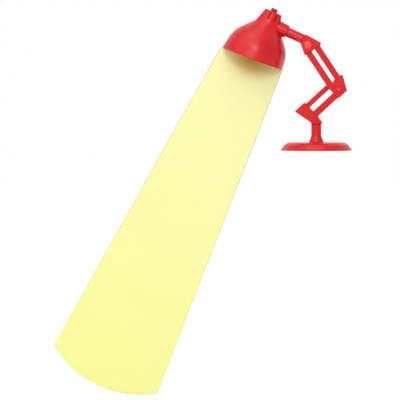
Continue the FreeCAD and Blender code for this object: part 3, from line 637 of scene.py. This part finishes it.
def bell_tree():
    """Half of the bell: outlines turned and joined, then hollowed, vented and cut in the middle."""
    counts = ["Segments", "Round Steps", "Vent Count"]
    sizes = ["Rim Skew", "Rim Slope", "Skew Height", "Collar Height", "Side", "First Vent"]
    sizes += ["Vent Pitch", "Vent Width", "Vent Length", "Vent Depth", "Vent Radius"]
    sizes += ["Vent Height", "Vent Lean", "Lip Radius", "Parting Gap", "Keep Size"]
    labels = [(label, "Int") for label in counts] + [("Material", "Material")]
    tree, given = new_tree("bell", labels + [(label, "Float") for label in sizes])
    number = point_value(tree, "outline")

    def turned_outline(i):
        feeds = {0: number, 1: float(i), 2: NUMBER_TOLERANCE}
        chosen = add(tree, "ShaderNodeMath", feeds, operation="COMPARE").outputs[0]
        feeds = {"Geometry": given["Geometry"], "Selection": chosen}
        wire = add(tree, "GeometryNodeSeparateGeometry", feeds, domain="POINT")
        lathe = add(tree, "GeometryNodeGroup", node_tree=TURNED)
        for name in ("Segments", "Round Steps", "Material"):
            tree.links.new(given[name], lathe.inputs[name])
        tree.links.new(wire.outputs["Selection"], lathe.inputs["Geometry"])
        return lathe.outputs["Geometry"]

    def skewed(geometry):
        """Slide the flank along itself below the shoulder, so that the rim rises to the right."""
        position = add(tree, "GeometryNodeInputPosition").outputs["Position"]
        parts = add(tree, "ShaderNodeSeparateXYZ", {"Vector": position}).outputs
        share = ranged(tree, parts["Z"], given["Skew Height"], 0.0)
        tilt = maths(tree, "MULTIPLY", parts["X"], given["Rim Skew"])
        rise = maths(tree, "MULTIPLY", tilt, share)
        flat = vector_of(tree, X=parts["X"], Y=parts["Y"])
        radius = add(tree, "ShaderNodeVectorMath", {0: flat}, operation="LENGTH").outputs["Value"]
        spread = maths(tree, "DIVIDE", maths(tree, "MULTIPLY", rise, given["Rim Slope"]), radius)
        out = add(tree, "ShaderNodeVectorMath", {0: flat, "Scale": spread}, operation="SCALE")
        feeds = {0: out.outputs["Vector"], 1: vector_of(tree, Z=rise)}
        offset = add(tree, "ShaderNodeVectorMath", feeds, operation="ADD").outputs["Vector"]
        feeds = {"Geometry": geometry, "Offset": offset}
        return add(tree, "GeometryNodeSetPosition", feeds).outputs["Geometry"]

    def placed(geometry, translation, rotation=(0.0, 0.0, 0.0)):
        feeds = {"Geometry": geometry, "Translation": translation, "Rotation": rotation}
        return add(tree, "GeometryNodeTransform", feeds).outputs["Geometry"]

    def across(geometry):
        return placed(geometry, vector_of(tree, Z=given["Collar Height"]), (0.0, QUARTER_TURN, 0.0))

    def turned_by(**parts):
        euler = vector_of(tree, **parts)
        return add(tree, "FunctionNodeEulerToRotation", {"Euler": euler}).outputs["Rotation"]

    def round_the_crown(geometry):
        index = add(tree, "GeometryNodeInputIndex").outputs["Index"]
        step = maths(tree, "MULTIPLY", index, given["Vent Pitch"])
        bearing = maths(tree, "ADD", step, given["First Vent"])
        half_turn = maths(tree, "MULTIPLY", maths(tree, "ADD", given["Side"], 1.0), QUARTER_TURN)
        swing = maths(tree, "MULTIPLY", given["Side"], bearing)
        turn = maths(tree, "SUBTRACT", half_turn, swing)
        forwards = maths(tree, "MULTIPLY", given["Vent Radius"], -1.0)
        on_front = vector_of(tree, Y=forwards, Z=given["Vent Height"])
        laid = placed(geometry, on_front, turned_by(X=given["Vent Lean"]))
        feeds = {"Count": given["Vent Count"], "Offset": (0.0, 0.0, 0.0)}
        points = add(tree, "GeometryNodeMeshLine", feeds).outputs["Mesh"]
        feeds = {"Points": points, "Instance": laid, "Rotation": turned_by(Z=turn)}
        copies = add(tree, "GeometryNodeInstanceOnPoints", feeds).outputs["Instances"]
        real = add(tree, "GeometryNodeRealizeInstances", {"Geometry": copies})
        return real.outputs["Geometry"]

    def joined(operation, first, *others):
        step = add(tree, "GeometryNodeMeshBoolean", operation=operation, solver="MANIFOLD")
        tree.links.new(first, step.inputs["Mesh 1" if operation == "DIFFERENCE" else "Mesh 2"])
        for other in others:
            tree.links.new(other, step.inputs["Mesh 2"])
        return step.outputs["Mesh"]

    bell = skewed(turned_outline(0))
    hollow = skewed(turned_outline(1))
    collar = across(turned_outline(2))
    bore = across(turned_outline(3))

    feeds = {"Width": given["Vent Width"], "Height": given["Vent Length"]}
    slot = add(tree, "GeometryNodeCurvePrimitiveQuadrilateral", feeds).outputs["Curve"]
    slot_round = maths(tree, "MULTIPLY", given["Vent Width"], VENT_ROUND_SHARE)
    slot = rounded(tree, slot, given["Round Steps"], slot_round)
    sunk = vector_of(tree, Z=maths(tree, "MULTIPLY", given["Vent Depth"], -1.0))
    feeds = {"Start": sunk, "End": (0.0, 0.0, VENT_CUTTER_PROUD)}
    depth = add(tree, "GeometryNodeCurvePrimitiveLine", feeds).outputs["Curve"]
    feeds = {"Curve": depth, "Profile Curve": slot, "Fill Caps": True}
    cutter = add(tree, "GeometryNodeCurveToMesh", feeds).outputs["Mesh"]
    feeds = {"Resolution": LIP_SIDES, "Radius": given["Lip Radius"]}
    bead = add(tree, "GeometryNodeCurvePrimitiveCircle", feeds).outputs["Curve"]
    feeds = {"Curve": slot, "Profile Curve": bead}
    lip = add(tree, "GeometryNodeCurveToMesh", feeds).outputs["Mesh"]

    whole = joined("UNION", bell, collar, round_the_crown(lip))
    whole = joined("DIFFERENCE", whole, hollow, bore, round_the_crown(cutter))
    half_size = maths(tree, "MULTIPLY", given["Keep Size"], 0.5)
    off_middle = maths(tree, "ADD", given["Parting Gap"], half_size)
    aside = vector_of(tree, Y=maths(tree, "MULTIPLY", given["Side"], off_middle))
    size = vector_of(tree, X=given["Keep Size"], Y=given["Keep Size"], Z=given["Keep Size"])
    block = add(tree, "GeometryNodeMeshCube", {"Size": size}).outputs["Mesh"]
    finish_tree(tree, joined("INTERSECT", whole, placed(block, aside)), given["Material"])
    return tree


SHADE = bell_tree()
bell_outline = [
    (0, 0, 0),
    (RIM_R, 0, RIM_ROUND),
    (SHOULDER_R, SHOULDER_H, SHOULDER_ROUND),
    (NECK_R, NECK_H, NECK_ROUND),
    (CROWN_R, CROWN_H, CROWN_ROUND),
    (STEM_HOLE_R, CROWN_H, 0),
    (STEM_HOLE_R, CROWN_H - STEM_L, 0),
    (0, CROWN_H - STEM_L, 0),
]
inner_neck_r = NECK_R - WALL_LEVEL
hollow_outline = [
    (0, -HOLLOW_PAST, 0),
    (RIM_R - WALL - RIM_SLOPE * HOLLOW_PAST, -HOLLOW_PAST, 0),
    (SHOULDER_R - WALL_LEVEL, SHOULDER_H - SHOULDER_WALL_DROP, SHOULDER_ROUND - WALL),
    (inner_neck_r, NECK_H - NECK_WALL_DROP, NECK_ROUND + WALL),
    (inner_neck_r + CROWN_SLOPE * (HOLLOW_TOP - NECK_H), HOLLOW_TOP, HOLLOW_ROUND),
    (0, HOLLOW_TOP, 0),
]
collar_outline = [
    (0, 0, 0),
    (COLLAR_ROOT_R, 0, 0),
    (COLLAR_TIP_R, COLLAR_REACH, COLLAR_ROUND),
    (0, COLLAR_REACH, 0),
]
bore_outline = [
    (0, COLLAR_REACH - ROD_SEAT_L, 0),
    (BORE_R, COLLAR_REACH - ROD_SEAT_L, 0),
    (BORE_R, COLLAR_REACH + BORE_PAST, 0),
    (0, COLLAR_REACH + BORE_PAST, 0),
]
shade_outlines = [bell_outline, hollow_outline, collar_outline, bore_outline]
shade_sizes = {
    "Segments": BELL_SEGMENTS,
    "Round Steps": BELL_ROUND_STEPS,
    "Vent Count": VENT_COUNT,
    "Material": red_plastic,
    "Rim Skew": math.tan(RIM_SKEW),
    "Rim Slope": RIM_SLOPE,
    "Skew Height": SHOULDER_H,
    "Collar Height": COLLAR_HEIGHT,
    "First Vent": VENT_FIRST,
    "Vent Pitch": VENT_PITCH,
    "Vent Width": VENT_W,
    "Vent Length": VENT_HIGH - VENT_LOW,
    "Vent Depth": VENT_DEPTH,
    "Vent Radius": NECK_R + CROWN_SLOPE * (VENT_MIDDLE - NECK_H),
    "Vent Height": VENT_MIDDLE,
    "Vent Lean": QUARTER_TURN + math.atan(CROWN_SLOPE),
    "Lip Radius": LIP_R,
    "Parting Gap": PARTING_GAP,
    "Keep Size": KEEP_SIZE,
}
for node, side in (("shade_front", -1.0), ("shade_rear", 1.0)):
    half = wire_outline(node + "_bell", shade_outlines, red_plastic)
    shaped_by(half, SHADE, {**shade_sizes, "Side": side})
    closed_up(half, red_plastic)
    half.data.transform(shade_place)
    fitted(half, "head", node)

# Finial: a short round knob of red plastic with a flat top and a rounded edge, coloured a darker
# red than the rest. Its stem is pressed into the hole in the crown.
FINIAL_RED = (0.40, 0.008, 0.012)
FINIAL_RED_DEEP = (0.30, 0.005, 0.008)
FINIAL_R = 1.65 * MM
FINIAL_H = 1.7 * MM
FINIAL_FOOT_ROUND = 0.08 * MM
FINIAL_TOP_ROUND = 0.5 * MM
FINIAL_STEM_R = 0.8 * MM
FINIAL_STEM_ROUND = 0.1 * MM

finial_plastic = moulded_plastic("deep_red", FINIAL_RED, FINIAL_RED_DEEP, PLASTIC_ROUGHNESS)
finial_outline = [
    (0, CROWN_H - STEM_L, 0),
    (FINIAL_STEM_R, CROWN_H - STEM_L, FINIAL_STEM_ROUND),
    (FINIAL_STEM_R, CROWN_H, 0),
    (FINIAL_R, CROWN_H, FINIAL_FOOT_ROUND),
    (FINIAL_R, CROWN_H + FINIAL_H, FINIAL_TOP_ROUND),
    (0, CROWN_H + FINIAL_H, 0),
]
finial = turned("finial", finial_outline, shade_place, "head", finial_plastic, BUTTON_SEGMENTS)

# Film: the lamp's beam, one flat sheet of translucent pale yellow plastic, gripped between the
# halves of the shade. Just under the red rim it carries a painted shadow, warm with painted red
# light from the bell; below that it is cream and deepens towards its end.
# painted shadow under the rim, warm brown with painted red light from the bell
FILM_PAINTED_RIM_SHADE = (0.76, 0.49, 0.075)
FILM_CREAM = (0.975, 0.965, 0.50)
FILM_YELLOW = (0.985, 0.975, 0.36)
# painted shade on the film's cut edges
FILM_EDGE_SHADE = (0.42, 0.44, 0.22)
FILM_CLEARNESS = 0.2
FILM_IOR = 1.35
FILM_SPECULAR = 0.4
FILM_ROUGHNESS = 0.42
FILM_GLOSSIER = 0.05
FILM_DULLER = 0.07
FILM_DROP = 181.8 * MM
RIM_SHADE_LENGTH = 14 * MM
RIM_SHADE_HALF_WIDTH = 17.5 * MM
RIM_SHADE_MIDDLE = 0.5 * MM
CLOUD_SIZE = 18 * MM
CLOUD_DETAIL = 2.0
CLOUD_DARKEST = 0.985
CLOUD_LIGHTEST = 1.01
RIPPLE_SIZE = 4 * MM
RIPPLE_DETAIL = 2.0
RIPPLE_STRENGTH = 0.2
RIPPLE_DEPTH = 0.03 * MM
EDGE_LINE = 0.3 * MM
BROAD_FACING = 0.9
BROAD_AREA = (5 * MM) ** 2


def translucent_film(name):
    """Smooth yellow sheet that lets light through and darkens on its cut edges."""
    material, tree, shader = new_material(name)
    shader.inputs["Transmission Weight"].default_value = FILM_CLEARNESS
    shader.inputs["IOR"].default_value = FILM_IOR
    shader.inputs["Specular IOR Level"].default_value = FILM_SPECULAR
    place = add(tree, "ShaderNodeTexCoord").outputs["Object"]
    rim_up, rim_out = RIM_CENTRE.dot(SHADE_UP), RIM_CENTRE.dot(ROD_OUT)
    rim_tilt = math.tan(RIM_SKEW)

    def measured_along(axis):
        feeds = {0: place, 1: tuple(axis)}
        return add(tree, "ShaderNodeVectorMath", feeds, operation="DOT_PRODUCT").outputs["Value"]

    up = measured_along(SHADE_UP)
    body = add(tree, "ShaderNodeValToRGB", {"Fac": ranged(tree, up, rim_up, rim_up - FILM_DROP)})
    body.color_ramp.interpolation = "LINEAR"
    body.color_ramp.elements[0].color = (*FILM_CREAM, 1)
    body.color_ramp.elements[1].color = (*FILM_YELLOW, 1)

    # Painted rim shadow with painted red bounce light, fading down the film and to the sides.
    out = measured_along(ROD_OUT)
    wide = maths(tree, "SUBTRACT", out, rim_out + RIM_SHADE_MIDDLE)
    wide = maths(tree, "DIVIDE", wide, RIM_SHADE_HALF_WIDTH)
    low = maths(tree, "ADD", up, maths(tree, "MULTIPLY", out, -rim_tilt))
    low = maths(tree, "SUBTRACT", low, rim_up - rim_out * rim_tilt)
    low = maths(tree, "DIVIDE", low, RIM_SHADE_LENGTH)
    away = maths(tree, "ADD", maths(tree, "POWER", wide, 2.0), maths(tree, "POWER", low, 2.0))
    away = maths(tree, "SQRT", away)
    rim_shade_share = ranged(tree, away, 1.0, 0.0, interpolation_type="SMOOTHERSTEP")
    rim_shaded = mixed(tree, rim_shade_share, body.outputs["Color"], (*FILM_PAINTED_RIM_SHADE, 1))

    cloud = noise(tree, place, CLOUD_SIZE, CLOUD_DETAIL)
    haze = ranged(tree, cloud, 0.0, 1.0, CLOUD_DARKEST, CLOUD_LIGHTEST)
    shaded = mixed(tree, 1.0, rim_shaded, haze, blend="MULTIPLY")
    # Painted shade: the cut edges go dark grey-green, as the thin edge and its shadow look.
    edge = add(tree, "ShaderNodeAttribute", attribute_name="edge_line").outputs["Fac"]
    tree.links.new(mixed(tree, edge, shaded, (*FILM_EDGE_SHADE, 1)), shader.inputs["Base Color"])

    least, most = FILM_ROUGHNESS - FILM_GLOSSIER, FILM_ROUGHNESS + FILM_DULLER
    tree.links.new(ranged(tree, cloud, 0.0, 1.0, least, most), shader.inputs["Roughness"])
    ripple = noise(tree, place, RIPPLE_SIZE, RIPPLE_DETAIL)
    rippled = bumped(tree, ripple, RIPPLE_STRENGTH, RIPPLE_DEPTH)
    tree.links.new(rippled, shader.inputs["Normal"])
    return material


def edge_lined(piece, width):
    """Inset both broad faces of a sheet, and mark everything outside the inset as its cut edge."""
    build = bmesh.new()
    build.from_mesh(piece.data)
    marks = build.verts.layers.float.new("edge_line")
    for point in build.verts:
        point[marks] = 1.0
    old = set(build.verts)
    facing = [face for face in build.faces if abs(face.normal.y) > BROAD_FACING]
    broad = [face for face in facing if face.calc_area() > BROAD_AREA]
    bmesh.ops.inset_individual(build, faces=broad, thickness=width, use_even_offset=True)
    for point in build.verts:
        if point not in old:
            point[marks] = 0.0
    build.to_mesh(piece.data)
    build.free()


film = merged_copy("beam_film", translucent_film("pale_yellow_sheet"))
edge_lined(film, EDGE_LINE)
fitted(film, "head", "beam_film")

# Stage: a white floor below the lowest place that the film's end can reach, and a plain white
# surround. Five soft boxes light it: a large one in front and above, one overhead, a small one
# over the camera, a weak one at the left and one behind, which gives light but no gloss.
FILM_END_LOWERS = 20 * MM
FLOOR_Z = solid_low.z - FILM_END_LOWERS
FLOOR_SIZE = 8.0
FLOOR_GREY = 0.8
FLOOR_GLOW = 0.64
FAR_GLOW = 0.76
LIT_REACH = 0.3
FAR_REACH = 1.6
SURROUND_LIGHT = 0.33
WHITE = (1, 1, 1, 1)
AIM = Vector((-58.33, 0, -24.95)) * MM
SOFT_BOXES = (
    # name, azimuth, elevation, distance and size in metres, watts
    ("key", 0, 34, 1.5, 1.0, 6.5),
    ("top", -5, 72, 1.2, 0.8, 3.7),
    ("front", 9, 24, 1.6, 0.45, 4.3),
    ("left", -52, 42, 1.2, 0.8, 2.3),
    ("back", 182, 38, 1.5, 1.0, 11.0),
)
NO_GLOSS = ("back",)  # its gloss would only whiten the edges that it grazes


def seen_directly(tree):
    """One for rays from the camera, a gloss or a clear sheet, else zero."""
    path = add(tree, "ShaderNodeLightPath").outputs
    mirrored = maths(tree, "MAXIMUM", path["Is Glossy Ray"], path["Is Transmission Ray"])
    return maths(tree, "MAXIMUM", path["Is Camera Ray"], mirrored)


def stage_material(name):
    """White floor that keeps soft shadows near the lamp, and stays white where no light reaches."""
    material, tree, shader = new_material(name)
    shader.inputs["Base Color"].default_value = (FLOOR_GREY, FLOOR_GREY, FLOOR_GREY, 1)
    shader.inputs["Roughness"].default_value = 1
    shader.inputs["Emission Color"].default_value = WHITE
    place = add(tree, "ShaderNodeTexCoord").outputs["Object"]
    reach = add(tree, "ShaderNodeVectorMath", {0: place}, operation="LENGTH").outputs["Value"]
    level = ranged(tree, reach, LIT_REACH, FAR_REACH, FLOOR_GLOW, FAR_GLOW)
    glow = maths(tree, "MULTIPLY", seen_directly(tree), level)
    tree.links.new(glow, shader.inputs["Emission Strength"])
    return material


def stood_off(item, azimuth, elevation, distance):
    """Face the middle of the view from this side. Azimuth 0 is the front, and right is positive."""
    a, e = math.radians(azimuth), math.radians(elevation)
    back = Vector((math.sin(a) * math.cos(e), -math.cos(a) * math.cos(e), math.sin(e)))
    item.location = AIM + back * distance
    item.rotation_mode = "QUATERNION"
    item.rotation_quaternion = (-back).to_track_quat("-Z", "Y")


bpy.ops.mesh.primitive_plane_add(size=FLOOR_SIZE, location=(0, 0, FLOOR_Z))
floor = bpy.context.object
floor.name = "floor"
floor.data.materials.append(stage_material("floor_white"))

world = bpy.data.worlds.new("surround")
bpy.context.scene.world = world
world.use_nodes = True
air = world.node_tree
sky = air.nodes["Background"]
sky_level = ranged(air, seen_directly(air), 0.0, 1.0, SURROUND_LIGHT, 1.0)
air.links.new(sky_level, sky.inputs["Strength"])
sky.inputs["Color"].default_value = WHITE

for name, azimuth, elevation, distance, size, watts in SOFT_BOXES:
    light = bpy.data.lights.new(name, "AREA")
    light.shape = "SQUARE"
    light.size = size
    light.energy = watts
    soft_box = new_object(name, light)
    soft_box.visible_glossy = name not in NO_GLOSS
    stood_off(soft_box, azimuth, elevation, distance)

# Camera: almost square on, a little to the right and above, and from far away, so that the
# perspective is as slight as the photograph's.
CAMERA_AZIMUTH = 7.0
CAMERA_ELEVATION = 2.0
CAMERA_DISTANCE = 1950 * MM
FIELD_WIDTH = 200 * MM
SENSOR_WIDTH = 36.0
CLIP_END = 20.0

lens = bpy.data.cameras.new("camera")
lens.sensor_width = SENSOR_WIDTH
lens.lens = SENSOR_WIDTH * CAMERA_DISTANCE / FIELD_WIDTH
lens.clip_end = CLIP_END
camera = new_object("camera", lens)
stood_off(camera, CAMERA_AZIMUTH, CAMERA_ELEVATION, CAMERA_DISTANCE)
bpy.context.scene.camera = camera
bpy.context.scene.view_settings.view_transform = "Standard"
